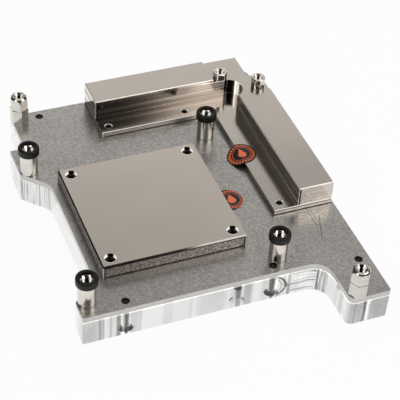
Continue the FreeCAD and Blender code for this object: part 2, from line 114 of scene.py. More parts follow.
# The middle of the outlet port's window, along the sweep, where a painted refraction band of level
# lines goes.
PORT_WINDOW = 58.8

# Ticks round a label.
LABEL_TICKS = 26
# The scratches before the right bar, in millimetres from the socket centre.
SCRATCHES = (
    ((58.9, -17.0), (59.0, -23.4), (59.0, -28.1)),
    ((60.2, -17.0), (60.1, -28.0)),
    ((63.9, -17.1), (60.2, -27.3), (58.2, -33.1), (61.5, -37.7)),
    ((64.5, -20.4), (64.8, -25.3)),
)

# The camera: its place in millimetres from the socket centre, and its right and up directions.
CAMERA_SPOT = (-140.198, -360.765, 370.657)
CAMERA_RIGHT = (0.931045, -0.360692, 0.055293)
CAMERA_UP = (0.204100, 0.640350, 0.740469)
# Half the floor's side, in metres.
FLOOR = 3.0
# Soft lamps: name, place, width and height in metres, radiance, colour.
WARM, CREAM = (1.0, 0.97, 0.935), (1.0, 0.95, 0.9)
LAMPS = (
    ("soft_back_low", (0.226, 0.624, 0.343), 0.76, 0.345, 0.77, WARM),
    ("soft_back_high", (0.21, 0.472, 0.545), 0.76, 0.16, 0.47, WARM),
    ("soft_front_right", (0.354, -0.281, 0.417), 0.41, 0.4, 2.05, CREAM),
    ("soft_front_left", (-0.5, -0.2, 0.42), 0.3, 0.3, 2.0, WARM),
    ("soft_top", (0.0, -0.05, 0.75), 0.96, 0.96, 0.92, WARM),
)

# Colours that several finishes share: no light, the shine of painted glints, and painted edge
# highlights.
NO_LIGHT = (0.0, 0.0, 0.0)
PAINTED_GLINT_SHINE = (0.55, 0.53, 0.5)
PAINTED_EDGE_HIGHLIGHT = (0.95, 0.92, 0.88)


def spot(x, y, z=0.0):
    """A place given in millimetres from the socket centre and up from the bench."""
    return Vector((SOCKET.x + x * MM, SOCKET.y + y * MM, z * MM))


# Shader maths

class Value:
    """A number or colour in a material; plain arithmetic on it adds Math nodes."""

    def __init__(self, finish, socket):
        self.finish = finish
        self.socket = socket

    def _math(self, operation, *values):
        return self.finish.put(
            "ShaderNodeMath", {"operation": operation}, dict(enumerate(values)))

    def __add__(self, other):
        return self._math("ADD", self, other)

    def __radd__(self, other):
        return self._math("ADD", other, self)

    def __sub__(self, other):
        return self._math("SUBTRACT", self, other)

    def __rsub__(self, other):
        return self._math("SUBTRACT", other, self)

    def __mul__(self, other):
        return self._math("MULTIPLY", self, other)

    def __rmul__(self, other):
        return self._math("MULTIPLY", other, self)

    def __truediv__(self, other):
        return self._math("DIVIDE", self, other)

    def __rtruediv__(self, other):
        return self._math("DIVIDE", other, self)

    def __neg__(self):
        return self._math("MULTIPLY", self, -1.0)

    def __gt__(self, other):
        return self._math("GREATER_THAN", self, other)

    def __lt__(self, other):
        return self._math("LESS_THAN", self, other)

    def __abs__(self):
        return self._math("ABSOLUTE", self)

    def root(self):
        return self._math("SQRT", self)

    def least(self, other):
        return self._math("MINIMUM", self, other)

    def most(self, other):
        return self._math("MAXIMUM", self, other)

    def within(self, low, high):
        """0 below low, 1 above high, smooth between."""
        return self.finish.put(
            "ShaderNodeMapRange", {"interpolation_type": "SMOOTHSTEP"},
            {"Value": self, "From Min": low, "From Max": high, "To Min": 0.0, "To Max": 1.0})

    def near(self, low, high):
        """1 where the value is closer to zero than low, 0 beyond high, smooth between."""
        return 1.0 - abs(self).within(low, high)


def strongest(masks):
    """The largest of several masks at each point."""
    return functools.reduce(Value.most, masks)


class Finish:
    """One material, built node by node."""

    def __init__(self, name):
        self.material = bpy.data.materials.new(name)
        self.material.use_nodes = True
        self.tree = self.material.node_tree
        self.tree.nodes.clear()
        self._place = None
        self._facing = None

    def put(self, kind, settings=None, sockets=None, out=0):
        """Adds a node: its settings first, then the values or links of its sockets."""
        node = self.tree.nodes.new(kind)
        for key, value in (settings or {}).items():
            setattr(node, key, value)
        for key, value in (sockets or {}).items():
            socket = node.inputs[key]
            if isinstance(value, Value):
                self.tree.links.new(value.socket, socket)
            elif socket.type == "RGBA" and len(value) == 3:
                socket.default_value = (*value, 1.0)
            else:
                socket.default_value = value
        return Value(self, node.outputs[out]) if len(node.outputs) else node

    def parts(self, vector):
        """The three numbers of a vector."""
        node = self.put("ShaderNodeSeparateXYZ", {}, {0: vector}).socket.node
        return tuple(Value(self, node.outputs[i]) for i in range(3))

    def place(self):
        """Position on the object, in metres in the row frame."""
        if self._place is None:
            self._place = self.put("ShaderNodeTexCoord", out="Object")
        return self._place

    def axes(self):
        """The three numbers of the position."""
        return self.parts(self.place())

    def facing(self):
        """The three numbers of the surface normal, in the row frame."""
        if self._facing is None:
            self._facing = self.parts(self.put("ShaderNodeNewGeometry", out="True Normal"))
        return self._facing

    def stretched(self, x, y, z, turn=0.0):
        """The position turned about the vertical and scaled along each axis, in cycles a metre."""
        return self.put(
            "ShaderNodeMapping", {"vector_type": "TEXTURE"},
            {"Vector": self.place(), "Scale": (1 / x, 1 / y, 1 / z), "Rotation": (0.0, 0.0, turn)})

    def noise(self, scale=1.0, detail=3.0, rough=0.55, at=None):
        return self.put("ShaderNodeTexNoise", {}, {
            "Vector": at or self.place(), "Scale": scale, "Detail": detail, "Roughness": rough})

    def blend(self, factor, first, second):
        """Colour that goes from first to second with the factor."""
        return self.put(
            "ShaderNodeMix", {"data_type": "RGBA"}, {0: factor, 6: first, 7: second}, out=2)

    def bump(self, height, distance, strength=1.0):
        return self.put(
            "ShaderNodeBump", {}, {"Height": height, "Distance": distance, "Strength": strength})

    def shader(self, sockets):
        """A Principled shader with these sockets."""
        return self.put("ShaderNodeBsdfPrincipled", {}, sockets)

    def ended(self, shader):
        """Ends the material in this shader."""
        self.put("ShaderNodeOutputMaterial", {}, {"Surface": shader})
        return self.material

    def surface(self, sockets):
        """Ends the material in a Principled shader with these sockets."""
        return self.ended(self.shader(sockets))


# Finishes

def clear_acrylic(look):
    """Polished clear plastic, with painted bands for its refractions, painted bright lines and a
    glowing painted highlight along its upper rim.
    """
    f = Finish("clear_acrylic")
    x, y, z = f.axes()
    nx, ny, nz = f.facing()
    across, along = (x - SOCKET.x) * (1 / MM), (y - SOCKET.y) * (1 / MM)
    upright = nz.near(0.4, 0.8)
    turning = upright * (1.0 - abs(nx).most(abs(ny)).within(0.86, 0.985))
    outer = ((along < CLEAR_FRONT) + (across < CLEAR_LEFT) + (across > CLEAR_RIGHT) + (
        along > CLEAR_BACK)).least(1.0) * upright
    haze = f.noise(45.0, 3.0)
    waver = f.noise(1.0, 2.0, 0.5, at=f.stretched(60.0, 60.0, 160.0))
    broad = f.noise(1.0, 2.0, 0.5, at=f.stretched(230.0, 230.0, 14.0))
    hairs = f.noise(1.0, 1.0, 0.5, at=f.stretched(600.0, 600.0, 16.0))
    level = f.noise(1.0, 2.0, 0.5, at=f.stretched(40.0, 40.0, 700.0))
    # the place along the sweep, straight for most painted refraction bands and bowed for the curved
    # ones
    sweep = across * SWEEP[0] + along * SWEEP[1] + (waver - 0.5) * 0.5
    bow = (z - CURVE_HEIGHT) * (1 / MM)
    swing = sweep + bow * bow * 0.12 + (waver - 0.5) * 2.0
    # painted refraction: dark upright bands that deepen the body's tint
    seen = strongest(
        (run - place).near(half * 0.4, half) * depth
        for bands, run in ((CLEAR_BANDS, sweep), (CURVED_BANDS, swing))
        for place, half, depth in bands)
    # painted highlights: bright upright lines that shine by emission on the outer faces
    bright = strongest((sweep - place).near(half * 0.4, half) for place, half in PAINTED_BRIGHT_BANDS)
    # painted refraction: a dark band of level lines where the outlet port's window shows through
    port = (sweep - PORT_WINDOW).near(4.6, 5.2) * (0.5 - level).within(0.0, 0.04) * 0.7
    lines = (hairs - 0.5).near(0.012, 0.05) * turning * 0.8
    cloudy = (0.53 - broad).within(0.0, 0.12) * 0.26
    deep = (strongest((seen, port, lines, cloudy)) * outer).most(lines * 0.7)
    # painted highlight: a line along the upper rim of the outer faces that shines by emission
    rim = outer * (z - (PLATE_TOP - 3.0 * MM)).within(0.0, 0.12 * MM) * (
        0.55 + 0.45 * (broad + 0.1).within(0.4, 0.6))
    rough = haze * 0.03 + 0.003
    normal = f.bump(broad * outer, 0.0005, 0.3)
    through = f.shader({
        "Base Color": f.blend((deep + haze.within(0.4, 0.6) * 0.05).least(1.0),
                              look.clear_light, look.clear_dark),
        "Roughness": rough,
        "Transmission Weight": 1.0,
        "IOR": 1.14,
        "Coat Weight": 1.0,
        "Normal": normal,
        "Emission Color": f.blend(rim.most(bright * outer * 0.6), NO_LIGHT, (0.55, 0.55, 0.54)),
        "Emission Strength": 1.0,
    })
    bent = f.shader({
        "Base Color": (0.98, 0.98, 0.97),
        "Roughness": rough,
        "Transmission Weight": 1.0,
        "IOR": 1.49,
        "Normal": normal,
    })
    return f.ended(f.put("ShaderNodeMixShader", {}, {0: deep * 0.25 + 0.04, 1: through, 2: bent}))


def blasted_plate(look):
    """Satin metal sheet with short slanting strokes on its flat and a bright grain on its edge."""
    f = Finish("blasted_plate")
    side = f.facing()[2].near(0.5, 0.9)
    strokes = f.noise(1.0, 2.0, 0.6, at=f.stretched(760.0, 2700.0, 1500.0, math.radians(-42)))
    grain = f.noise(2100.0, 2.0, 0.7)
    cloud = f.noise(60.0, 3.0, 0.6)
    edge = f.noise(1.0, 3.0, at=f.stretched(200.0, 200.0, 4200.0))
    tone = strokes * 0.5 + grain * 0.38 + cloud * 0.12
    flat = f.blend(tone.within(0.41, 0.59), look.plate_dark, look.plate_light)
    rim = f.blend(edge.within(0.3, 0.7), (0.47, 0.46, 0.44), (0.6, 0.59, 0.565))
    return f.surface({
        "Base Color": f.blend(side, flat, rim),
        "Metallic": 1.0,
        "Roughness": grain * 0.12 + cloud * 0.06 + 0.22 - side * 0.12,
        "Normal": f.bump(tone * (1.0 - side) + edge * side * 0.3, 0.00005, 0.6),
    })


def hole_masks(x, y, z, holes):
    """Masks of painted light for polished holes: two painted glints on the far wall, a painted
    highlight on the near rim, and the wall, which the finishes paint dark as shade.

    Far and near are as the photograph's camera sees them. Each hole is (place, radius, top) in
    metres.
    """
    masks = []
    for place, radius, top in holes:
        hx, hy = x - place.x, y - place.y
        reach = (hx * hx + hy * hy).root() + 0.01 * MM
        aside = abs(hx * SWEEP[0] + hy * SWEEP[1]) / reach
        behind = (hx * AWAY[0] + hy * AWAY[1]) / reach
        wall = (reach < radius + 0.06 * MM) * (z < top - 0.01 * MM)
        painted_glint = wall * aside.within(0.4, 0.58) * behind.within(0.05, 0.3)
        rim = (reach < radius + 0.2 * MM) * (z > top - 0.02 * MM) * (-behind).within(0.3, 0.8)
        masks.append((painted_glint, rim, wall))
    return tuple(strongest(kind) for kind in zip(*masks))


def lapped_nickel(look):
    """The cold plate.

    A lapped warm grey top, ground sides between painted dark lines of shade, painted highlights on
    its corners, right chamfers and left side, and polished holes painted dark inside with painted
    glints.
    """
    f = Finish("lapped_nickel")
    x, y, z = f.axes()
    nx, ny, nz = f.facing()
    dx, dy = x - SOCKET.x, y - SOCKET.y
    up = nz.within(0.9, 0.99)
    slope = abs(nz).within(0.3, 0.6) * (1.0 - up)
    rim = abs(dx).most(abs(dy)) > COLD_HALF - 0.6 * MM
    wall = (1.0 - up) * (1.0 - slope) * rim
    edge = slope * rim
    front = (-ny).within(0.4, 0.6)
    left = (-nx).within(0.4, 0.6)
    right = dx.within(2.0 * MM, 12.0 * MM)
    lap = f.noise(1.0, 3.0, 0.6, at=f.stretched(2600.0, 130.0, 130.0, 0.1))
    cloud = f.noise(30.0, 4.0, 0.6)
    ground = f.noise(1.0, 3.0, 0.65, at=f.stretched(1100.0, 1100.0, 1500.0))
    top = f.blend((lap * 0.1 + cloud * 0.9).within(0.35, 0.65), look.cold_dark, look.cold_light)
    side = f.blend(ground.within(0.42, 0.58), (0.25, 0.222, 0.207), (0.72, 0.66, 0.615))
    # painted shade: dark lines along the foot and the top of the sides, the left one with a painted
    # highlight, a pale line, over it
    foot_shade_line = 1.0 - (z - (PLATE_TOP + 0.35 * MM)).within(0.0, 0.2 * MM)
    over = (z - (COLD_TOP - 1.1 * MM)).within(0.0, 0.12 * MM)
    pale = left * wall * over * (z > COLD_TOP - 0.85 * MM)
    # painted light on the upright corners seen from the front: a painted highlight line at the edge
    # with a painted dark line beside it
    out = abs(dx) - COLD_HALF
    bright = (out + 0.55 * MM).within(0.0, 0.1 * MM) * wall * front
    beside = (out + 1.1 * MM).within(0.0, 0.15 * MM) * wall * front
    # painted shade: the dark lines, kept off the painted highlights
    line = strongest((foot_shade_line, over, beside)) * wall * (1.0 - bright) * (1.0 - pale)
    holes = [(centre("cold_screw_" + c), 2.35 * MM, COLD_TOP) for c in CORNERS]
    painted_glint, ring, hole = hole_masks(x, y, z, holes)
    colour = f.blend(up, side, top)
    # painted highlight on the chamfers; the dark mask below paints the left ones dark as shade
    colour = f.blend(edge, colour, PAINTED_EDGE_HIGHLIGHT)
    # painted highlights: the corner lines, the holes' near rims and the pale left line
    colour = f.blend((bright + ring + pale * 0.7).least(1.0), colour, (0.97, 0.94, 0.9))
    # painted shade: the dark lines, the left chamfers and the holes' walls
    dark = strongest((line * 0.97, edge * (1.0 - right) * 0.95, hole * (1.0 - painted_glint) * 0.97))
    colour = f.blend(dark, colour, (0.012, 0.01, 0.009))
    # painted highlights are made partly matt so that the lamps light them, the left side too; the
    # painted glints shine by emission
    white = bright + painted_glint + edge * right + ring + left * wall * (1.0 - line) * 0.5
    return f.surface({
        "Base Color": f.blend(painted_glint, colour, (0.97, 0.95, 0.92)),
        "Metallic": 1.0 - white.least(1.0) * 0.8,
        "Roughness": up * (cloud * 0.06 + 0.235) + (1.0 - up) * (ground * 0.1 + 0.2),
        "Normal": f.bump(ground * wall * 0.9, 0.00002, 0.35),
        "Emission Color": f.blend(painted_glint, NO_LIGHT, PAINTED_GLINT_SHINE),
        "Emission Strength": 1.0,
    })


def milled_nickel(look):
    """The regulator block: ground tops, glossy walls with long cutter lines, painted highlights and
    shade lines on its edges, painted reflections and holes with painted glints.
    """
    f = Finish("milled_nickel")
    x, y, z = f.axes()
    nx, ny, nz = f.facing()
    across, along = (x - SOCKET.x) * (1 / MM), (y - SOCKET.y) * (1 / MM)
    height = (z - FLANGE_TOP) * (1 / MM)
    up = nz.within(0.9, 0.99)
    slope = abs(nz).within(0.3, 0.6) * (1.0 - up)
    wall = (1.0 - up) * (1.0 - slope)
    faces_front = (-ny).within(0.5, 0.9)
    above_flange = z > FLANGE_TOP + 0.02 * MM
    coarse = f.noise(1.0, 3.0, 0.6, at=f.stretched(5.0, 5.0, 700.0))
    fine = f.noise(1.0, 3.0, 0.65, at=f.stretched(9.0, 9.0, 2200.0))
    sweep = f.noise(1.0, 3.0, 0.6, at=f.stretched(1500.0, 120.0, 120.0, 0.2))
    cloud = f.noise(40.0, 4.0, 0.6)
    lines = coarse * 0.5 + fine * 0.5
    top = f.blend((sweep * 0.15 + cloud * 0.85).within(0.35, 0.65),
                  look.block_dark, look.block_light)

    # painted mirror images in the round relief, as in the photograph: black, white, brown
    rx, ry = across - RELIEF[0], along - RELIEF[1]
    reach = (rx * rx + ry * ry).root()
    relief = wall * (abs(reach - RELIEF_RADIUS) < 0.1) * (rx > -0.05) * above_flange
    turned_to = ry / reach
    relief_black = relief * turned_to.within(0.70, 0.74)
    relief_white = relief * (1.0 - turned_to.within(0.68, 0.72)) * turned_to.within(0.36, 0.44)
    relief_brown = relief * (1.0 - turned_to.within(0.30, 0.36))

    # painted mirror images on the rear bar's wall: dark at its left, pale towards the corner
    rear = wall * (along - REAR_WALL).within(0.0, 0.3) * faces_front
    pale = (across + height * 0.6 + (coarse - 0.5) * 26.0 - 12.0).within(9.0, 30.0)
    pale = pale.most((across + (fine - 0.5) * 16.0).within(36.0, 44.0) * 0.8)
    # painted reflection: a warm streaked patch high on the rear wall near the corner, which shines
    # by emission
    upper = rear * (1.0 - relief) * across.within(36.0, 44.0) * height.within(2.6, 3.8) * (
        (fine - 0.5) * 3.0 + 0.36)
    # painted highlight: a line along the top of the low corner's walls and the relief, which shines
    # by emission
    corner_lip_highlight = (z > CORNER_TOP - 0.4 * MM) * (1.0 - (z > CORNER_TOP + 0.05 * MM)) * (
        rear * (across > 44.0) * (1.0 - relief) + relief * (1.0 - turned_to.within(0.7, 0.74)))
    inner = wall * (-nx).within(0.5, 0.9) * above_flange * (across > RIGHT_WALL)
    end = y < BAR_FRONT + 0.05 * MM
    # the walls' streaks are partly the metal's cutter-line tone and partly painted reflection:
    # strong on the walls facing front and left, milder on the others
    hidden = nx.most(ny).within(0.4, 0.6)
    mild = f.blend(lines.within(0.3, 0.7), (0.48, 0.45, 0.415), (0.62, 0.585, 0.54))
    streaked = f.blend(lines.within(0.43, 0.57), look.wall_dark, look.wall_light)
    streaked = f.blend(hidden, streaked, mild)
    streaked = f.blend(rear * pale * 0.5, streaked, (0.56, 0.515, 0.465))
    streaked = f.blend(rear * (1.0 - pale) * 0.3, streaked, (0.62, 0.55, 0.51))
    streaked = f.blend(end * 0.85, streaked, (0.6, 0.57, 0.53))

    # painted highlights and painted shade: bright and dark lines along the flange's edge, the bar's
    # front corner and the left end
    low = z < FLANGE_TOP + 0.01 * MM
    foot = 1.0 - (z - (PLATE_TOP + 0.35 * MM)).within(0.0, 0.2 * MM)
    ledge_highlight = low * (z > FLANGE_TOP - 0.45 * MM) * wall
    ledge_shade_line = low * (z - (FLANGE_TOP - 1.0 * MM)).within(0.0, 0.15 * MM) * (
        z < FLANGE_TOP - 0.45 * MM) * wall
    bar_corner_highlight = (y - BAR_FRONT).near(0.3 * MM, 0.45 * MM) * (x - BAR_SIDE).near(0.02 * MM, 0.05 * MM)
    bar_corner_shade = (x - BAR_SIDE - 0.6 * MM).near(0.3 * MM, 0.4 * MM) * (
        y - BAR_FRONT).near(0.02 * MM, 0.05 * MM)
    left = x - BLOCK_LEFT
    left_end_highlight = rear * (1.0 - left.within(0.55 * MM, 0.65 * MM)) + (
        low * wall * (1.0 - left.within(0.4 * MM, 0.5 * MM)) * faces_front)
    left_end_shade = rear * (1.0 - left.within(1.1 * MM, 1.3 * MM))
    holes = [(centre(name), 1.6 * MM, FLANGE_TOP) for name in FLANGE_SCREWS]
    # painted glints, painted highlights on the rims and painted shade on the walls of the flange's
    # screw holes
    painted_glint, ring, bore = hole_masks(x, y, z, holes)

    # painted highlights: chamfers, the flange's top edge, the bar's front corner, the left end,
    # hole rims, glints and the relief's white
    painted_highlight = slope + bar_corner_highlight * wall + left_end_highlight + ledge_highlight + ring * 0.5 + painted_glint + relief_white
    painted_highlight = painted_highlight.least(1.0)
    # painted shade: dark lines at the foot, beside the bar's front corner, below the flange's top
    # edge and at the left end, the holes' walls and the relief's black and brown
    dark = strongest((foot * 0.95, bar_corner_shade * 0.95, ledge_shade_line * 0.8)) * wall
    dark = dark.most(left_end_shade * 0.9) * (1.0 - left_end_highlight.least(1.0))
    dark = strongest((dark, bore * 0.97, relief_black * 0.95, relief_brown * 0.45)) * (1.0 - painted_glint)
    # the rear bar's flange is smoother; its left is painted dark as a painted reflection of the
    # wall above it, and the wall's left a little darker still
    rear_flange = (z < FLANGE_TOP + 0.05 * MM) * (along > REAR_FLANGE)
    shade = (rear * (1.0 - pale) * 0.06).most(
        up * rear_flange * (1.0 - ring)
        * (1.0 - (across + (fine - 0.5) * 12.0).within(6.0, 36.0)) * 0.66)
    colour = f.blend(painted_highlight, f.blend(up, streaked, top), PAINTED_EDGE_HIGHLIGHT)
    # painted highlights, the pale painted reflection and the inner wall's streaks are made partly
    # matt so that the lamps light them
    dull = strongest((painted_highlight * 0.55, rear * pale * lines.within(0.35, 0.6) * 0.2,
                      inner * (lines.within(0.49, 0.6) * 0.45 + 0.22)))
    white = strongest((painted_glint, relief_white, corner_lip_highlight, ledge_highlight * faces_front * 0.6))
    return f.surface({
        "Base Color": f.blend(dark.most(shade), colour, (0.02, 0.018, 0.017)),
        "Metallic": 1.0 - dull,
        "Roughness": up * (sweep * 0.04 + 0.16 - rear_flange * 0.05) + slope * 0.3 + (
            (wall - relief) * (fine * 0.1 + 0.07 + bar_corner_highlight * 0.25)) + relief * 0.03,
        "Normal": f.bump(
            sweep * up * 0.03 + lines * (wall - relief) * (1.0 - end * 0.8), 0.00005, 0.3),
        # painted highlights and the painted warm reflection shine by emission
        "Emission Color": f.blend(
            white, f.blend(upper, NO_LIGHT, (0.56, 0.475, 0.4)), (0.6, 0.58, 0.55)),
        "Emission Strength": 1.0,
    })


def turned_nickel(name, dark, light, rough, mouths):
    """Turned metal: fine rings round the axis over a bright plating, and bores painted dark as
    shade, with painted glints and a painted rim that shine by emission.
    """
    f = Finish(name)
    x, y, z = f.axes()
    painted_glint, ring, bore = hole_masks(x, y, z, mouths)
    rings = f.noise(1.0, 3.0, 0.6, at=f.stretched(60.0, 60.0, 5200.0))
    cloud = f.noise(160.0, 3.0)
    plating = f.blend((rings * 0.6 + cloud * 0.4).within(0.35, 0.65), dark, light)
    return f.surface({
        # painted shade in the bores; painted glints and rims shine by emission
        "Base Color": f.blend(bore * (1.0 - painted_glint) * 0.93, plating, (0.02, 0.017, 0.015)),
        "Metallic": 1.0,
        "Roughness": rings * 0.05 + cloud * 0.04 + rough,
        "Normal": f.bump(rings, 0.00001, 0.2),
        "Emission Color": f.blend(painted_glint.most(ring * 0.6), NO_LIGHT, PAINTED_GLINT_SHINE),
        "Emission Strength": 1.0,
    })


def moulded_black():
    """Black moulded plastic of the collars."""
    f = Finish("moulded_black")
    grain = f.noise(2600.0, 3.0, 0.6)
    cloud = f.noise(220.0, 3.0)
    return f.surface({
        "Base Color": f.blend(
            cloud.within(0.3, 0.7), (0.004, 0.004, 0.004), (0.009, 0.0085, 0.008)),
        "Roughness": grain * 0.14 + cloud * 0.1 + 0.28,
        "Specular IOR Level": 0.3,
        "Normal": f.bump(grain, 0.00001, 0.4),
    })


def black_oxide():
    """Blackened steel of the screws, a little worn on its high spots."""
    f = Finish("black_oxide")
    grain = f.noise(3000.0, 3.0, 0.6)
    wear = f.noise(700.0, 4.0, 0.7).within(0.6, 0.78)
    return f.surface({
        "Base Color": f.blend(wear * 0.5, (0.010, 0.010, 0.010), (0.09, 0.085, 0.08)),
        "Metallic": 0.5,
        "Roughness": grain * 0.14 + 0.24,
        "Normal": f.bump(grain, 0.00001, 0.4),
    })


def bright_steel():
    """Zinc-bright shanks of the screws below, seen through the clear body."""
    f = Finish("bright_steel")
    grain = f.noise(2200.0, 3.0, 0.6)
    return f.surface({
        "Base Color": f.blend(grain.within(0.35, 0.65), (0.62, 0.6, 0.57), (0.82, 0.8, 0.76)),
        "Metallic": 0.7,
        "Roughness": grain * 0.1 + 0.2,
        "Normal": f.bump(grain, 0.00001, 0.3),
    })


def clear_nylon():
    """Half clear moulding of the short screw."""
    f = Finish("clear_nylon")
    grain = f.noise(1800.0, 3.0, 0.6)
    return f.surface({
        "Base Color": f.blend(grain.within(0.3, 0.7), (0.7, 0.7, 0.68), (0.86, 0.86, 0.84)),
        "Roughness": grain * 0.2 + 0.3,
        "Alpha": grain * 0.1 + 0.04,
    })


def dull_coat(name, dark, light):
    """Dull fine-grained surface of the seals and the scratches."""
    f = Finish(name)
    grain = f.noise(2200.0, 3.0, 0.6)
    return f.surface({
        "Base Color": f.blend(grain.within(0.3, 0.7), dark, light),
        "Roughness": grain * 0.2 + 0.5,
        "Normal": f.bump(grain, 0.00001, 0.4),
    })


def jet_steel():
    """Rolled sheet of the jet insert."""
    f = Finish("jet_steel")
    roll = f.noise(1.0, 3.0, 0.6, at=f.stretched(90.0, 3600.0, 3600.0))
    return f.surface({
        "Base Color": f.blend(roll.within(0.3, 0.7), (0.5, 0.49, 0.47), (0.68, 0.665, 0.64)),
        "Metallic": 1.0,
        "Roughness": roll * 0.15 + 0.2,
        "Normal": f.bump(roll, 0.00001, 0.4),
    })


def label_film(look, place):
    """Black round film with a ring of ticks round a plain drop, in a warm colour."""
    f = Finish("label_film")
    x, y, _ = f.axes()
    dx, dy = (x - place.x) * (1 / MM), (y - place.y) * (1 / MM)
    grain = f.noise(2400.0, 3.0, 0.6)
    radius = (dx * dx + dy * dy).root()
    angle = f.put("ShaderNodeMath", {"operation": "ARCTAN2"}, {0: dy, 1: dx})
    tick = f.put("ShaderNodeMath", {"operation": "FRACT"}, {0: angle * (LABEL_TICKS / math.tau)})
    ticks = (radius > 4.25) * (radius < 5.3) * (tick < 0.62)
    line = (radius > 3.55) * (radius < 3.75)
    low = dy + 0.6
    ball = (dx * dx + low * low).root() < 1.7
    tip = (abs(dx) < (2.9 - dy) * 0.55) * (dy > 0.1) * (dy < 2.9)
    ink = (ticks + line + ball.most(tip)).least(1.0)
    paper = f.blend(grain.within(0.3, 0.7), (0.006, 0.006, 0.0065), (0.013, 0.013, 0.0135))
    return f.surface({
        "Base Color": f.blend(ink, paper, look.label_ink),
        "Roughness": grain * 0.15 + 0.36,
        "Normal": f.bump(grain, 0.000005, 0.3),
    })


# Mesh helpers

def add_piece(name, bm, material, nodes=(), smooth=40.0):
    """Makes an object of a bmesh, lets it ride on the root and stand for its CAD nodes."""
    mesh = bpy.data.meshes.new(name)
    bmesh.ops.recalc_face_normals(bm, faces=bm.faces)
    bm.to_mesh(mesh)
    bm.free()
    for polygon in mesh.polygons:
        polygon.use_smooth = True
    mesh.set_sharp_from_angle(angle=math.radians(smooth))
    mesh.materials.append(material)
    piece = bpy.data.objects.new(name, mesh)
    bpy.context.scene.collection.objects.link(piece)
    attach(piece, "root")
    if nodes:
        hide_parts(*nodes)
    return piece


def turned(bm, place, rings, steps, closed=False):
    """A turned body round a vertical axis.

    Each ring is (height, radius) in metres, and a radius may be a function of the angle.
    A closed body's last loop joins its first; any other gets a flat face at each end.
    """
    loops = []
    for height, radius in rings:
        loop = []
        for i in range(steps):
            angle = math.tau * i / steps
            r = radius(angle) if callable(radius) else radius
            loop.append(bm.verts.new(
                (place.x + r * math.cos(angle), place.y + r * math.sin(angle), height)))
        loops.append(loop)
    for below, above in zip(loops, loops[1:] + loops[:1] if closed else loops[1:]):
        for i in range(steps):
            j = (i + 1) % steps
            bm.faces.new((below[i], below[j], above[j], above[i]))
    if not closed:
        bm.faces.new(list(reversed(loops[0])))
        bm.faces.new(loops[-1])


def hexed(flats):
    """Radius, at an angle, of a hexagon with this size over its flats."""
    def radius(angle):
        return flats / 2 / math.cos(angle % (math.pi / 3) - math.pi / 6)
    return radius


def arc(start, end, radius, height, size, count):
    """Rings (height, radius) of a quarter round from angle start to end, in degrees."""
    points = []
    for i in range(count + 1):
        a = math.radians(start + (end - start) * i / count)
        points.append((height + size * math.sin(a), radius + size * math.cos(a)))
    return points


def thread_rings(low, high, outer, pitch, depth):
    """Rings of a thread drawn as close ridges."""
    rings = []
    z = low
    while z + pitch <= high:
        rings += [(z, outer - depth), (z + pitch * 0.4, outer), (z + pitch * 0.6, outer)]
        z += pitch
    rings.append((min(z, high), outer - depth))
    return rings


def bore_rings(top, bottom, radius, pitch, depth):
    """Rings of an inner thread, from its mouth down to the floor of the bore."""
    rings = [(top, radius)]
    z = top - pitch * 0.3
    while z - pitch > bottom:
        rings += [(z, radius), (z - pitch * 0.45, radius + depth),
                  (z - pitch * 0.55, radius + depth)]
        z -= pitch
    return rings + [(z, radius), (bottom, radius)]


# Settings

def tone(name, description, default):
    return FloatVectorProperty(
        name=name, description=description, default=default, min=0.0, max=1.0,
        subtype="COLOR", size=3)


class ColdPlateSettings(bpy.types.PropertyGroup):
    """Shapes and tones of the part"""
    post_sink: FloatProperty(
        name="Post depth",
        description="How far the posts' mouths lie below their solid's tip, inside the collars",
        default=0.8 * MM, min=0.0, max=1.5 * MM, subtype="DISTANCE", unit="LENGTH")
    collar_round: FloatProperty(
        name="Collar rounding", description="Radius of the collars' upper rim",
        default=0.7 * MM, min=0.1 * MM, max=1.2 * MM, subtype="DISTANCE", unit="LENGTH")
    thread_pitch: FloatProperty(
        name="Thread pitch", description="Pitch of the screws that hold the clear body",
        default=0.5 * MM, min=0.3 * MM, max=1.0 * MM, subtype="DISTANCE", unit="LENGTH")
    scratch_width: FloatProperty(
        name="Scratch width", description="Width of the scratches on the base plate",
        default=0.3 * MM, min=0.02 * MM, max=0.5 * MM, subtype="DISTANCE", unit="LENGTH")
    plate_dark: tone("Plate, dark", "Darker tone of the base plate's grain", (0.345, 0.341, 0.332))
    plate_light: tone("Plate, light", "Lighter tone of the base plate's grain", (0.6, 0.592, 0.577))
    cold_dark: tone(
        "Cold plate, dark", "Darker tone of the cold plate's top", (0.635, 0.592, 0.537))
    cold_light: tone(
        "Cold plate, light", "Lighter tone of the cold plate's top", (0.665, 0.62, 0.562))
    block_dark: tone(
        "Block, dark", "Darker tone of the regulator block's tops", (0.55, 0.519, 0.478))
    block_light: tone(
        "Block, light", "Lighter tone of the regulator block's tops", (0.578, 0.545, 0.502))
    # The wall streaks are partly the metal's cutter-line tone and partly painted reflection.
    wall_dark: tone(
        "Wall, dark", "Darker streaks on the regulator block's milled walls", (0.27, 0.225, 0.2))
    wall_light: tone(
        "Wall, light", "Lighter streaks on the regulator block's milled walls", (0.93, 0.88, 0.815))
    # The deeper tint is the colour that the painted refraction bands darken towards.
    clear_dark: tone("Clear body, dark", "Deeper tint of the clear body", (0.04, 0.04, 0.038))
    clear_light: tone("Clear body, light", "Paler tint of the clear body", (1.0, 1.0, 0.985))
    label_ink: tone("Label ink", "Warm colour of the plain marks on the labels", (0.93, 0.2, 0.07))


